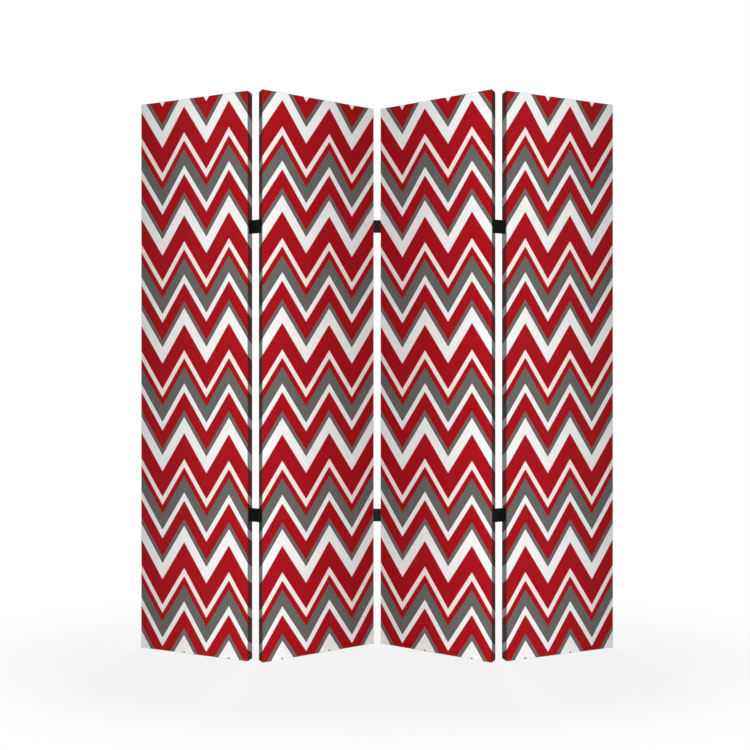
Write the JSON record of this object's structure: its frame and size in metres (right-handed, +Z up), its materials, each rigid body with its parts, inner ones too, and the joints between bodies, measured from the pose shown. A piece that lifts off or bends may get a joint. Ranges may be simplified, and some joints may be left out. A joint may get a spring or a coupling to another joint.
{
  "type": "folding screen",
  "caption": "Free-standing folding screen: zigzag-printed canvas stretched over wooden frames, joined by double-action pin hinges, so that each fold closes to the front or the back.",
  "frame": {"origin": "middle of the standing screen's footprint, on the floor", "axes": "+Z up, +X to the right along the screen's length seen from the front, -Y towards the front"},
  "size_m": [1.5886, 0.2237, 1.829],
  "materials": {
    "printed_canvas": "printed woven canvas, matt, in red, grey and white zigzags",
    "back_canvas": "printed woven canvas, matt, hemmed and stitched",
    "frame_wood": "planed softwood, unfinished",
    "hinge_black": "satin black coated steel",
    "screw_black": "black steel screws",
    "staple_steel": "zinc-plated wire"
  },
  "bodies": {
    "panel_1": {"panel_1_left_stile": "frame_wood", "panel_1_right_stile": "frame_wood", "panel_1_top_rail": "frame_wood", "panel_1_bottom_rail": "frame_wood", "panel_1_cross_rails": "frame_wood", "panel_1_front_canvas": "printed_canvas", "panel_1_back_canvas": "back_canvas", "panel_1_staples": "staple_steel", "panel_1_screws": "screw_black", "fold_1_lower_left_leaf": "hinge_black", "fold_1_upper_left_leaf": "hinge_black"},
    "panel_2": {"panel_2_left_stile": "frame_wood", "panel_2_right_stile": "frame_wood", "panel_2_top_rail": "frame_wood", "panel_2_bottom_rail": "frame_wood", "panel_2_cross_rails": "frame_wood", "panel_2_front_canvas": "printed_canvas", "panel_2_back_canvas": "back_canvas", "panel_2_staples": "staple_steel", "panel_2_screws": "screw_black", "fold_1_lower_right_leaf": "hinge_black", "fold_1_upper_right_leaf": "hinge_black", "fold_2_lower_left_leaf": "hinge_black", "fold_2_upper_left_leaf": "hinge_black"},
    "panel_3": {"panel_3_left_stile": "frame_wood", "panel_3_right_stile": "frame_wood", "panel_3_top_rail": "frame_wood", "panel_3_bottom_rail": "frame_wood", "panel_3_cross_rails": "frame_wood", "panel_3_front_canvas": "printed_canvas", "panel_3_back_canvas": "back_canvas", "panel_3_staples": "staple_steel", "panel_3_screws": "screw_black", "fold_2_lower_right_leaf": "hinge_black", "fold_2_upper_right_leaf": "hinge_black", "fold_3_lower_left_leaf": "hinge_black", "fold_3_upper_left_leaf": "hinge_black"},
    "panel_4": {"panel_4_left_stile": "frame_wood", "panel_4_right_stile": "frame_wood", "panel_4_top_rail": "frame_wood", "panel_4_bottom_rail": "frame_wood", "panel_4_cross_rails": "frame_wood", "panel_4_front_canvas": "printed_canvas", "panel_4_back_canvas": "back_canvas", "panel_4_staples": "staple_steel", "panel_4_screws": "screw_black", "fold_3_lower_right_leaf": "hinge_black", "fold_3_upper_right_leaf": "hinge_black"},
    "fold_1_link": {"fold_1_lower_link": "hinge_black", "fold_1_upper_link": "hinge_black", "fold_1_pins": "hinge_black"},
    "fold_2_link": {"fold_2_lower_link": "hinge_black", "fold_2_upper_link": "hinge_black", "fold_2_pins": "hinge_black"},
    "fold_3_link": {"fold_3_lower_link": "hinge_black", "fold_3_upper_link": "hinge_black", "fold_3_pins": "hinge_black"}
  },
  "joints": [
    {"name": "fold_1_right_pin", "type": "hinge", "parent": "panel_2", "child": "fold_1_link", "pos_m": [-0.3761, -0.1004, 0], "axis": [0, 0, -1], "range_deg": [-145.2, 34.8]},
    {"name": "fold_1_left_pin", "type": "hinge", "parent": "fold_1_link", "child": "panel_1", "pos_m": [-0.40629, -0.08567, 0], "axis": [0, 0, -1], "range_deg": [-84.4, 95.6]},
    {"name": "fold_2_left_pin", "type": "hinge", "parent": "fold_2_link", "child": "panel_2", "pos_m": [-0.0168, 0.1004, 0], "axis": [0, 0, 1], "range_deg": [-119.2, 60.8]},
    {"name": "fold_2_right_pin", "type": "hinge", "parent": "fold_2_link", "child": "panel_3", "pos_m": [0.0168, 0.1004, 0], "axis": [0, 0, -1], "range_deg": [-119.2, 60.8]},
    {"name": "fold_3_left_pin", "type": "hinge", "parent": "panel_3", "child": "fold_3_link", "pos_m": [0.3761, -0.1004, 0], "axis": [0, 0, 1], "range_deg": [-145.2, 34.8]},
    {"name": "fold_3_right_pin", "type": "hinge", "parent": "fold_3_link", "child": "panel_4", "pos_m": [0.40629, -0.08567, 0], "axis": [0, 0, 1], "range_deg": [-84.4, 95.6]}
  ]
}
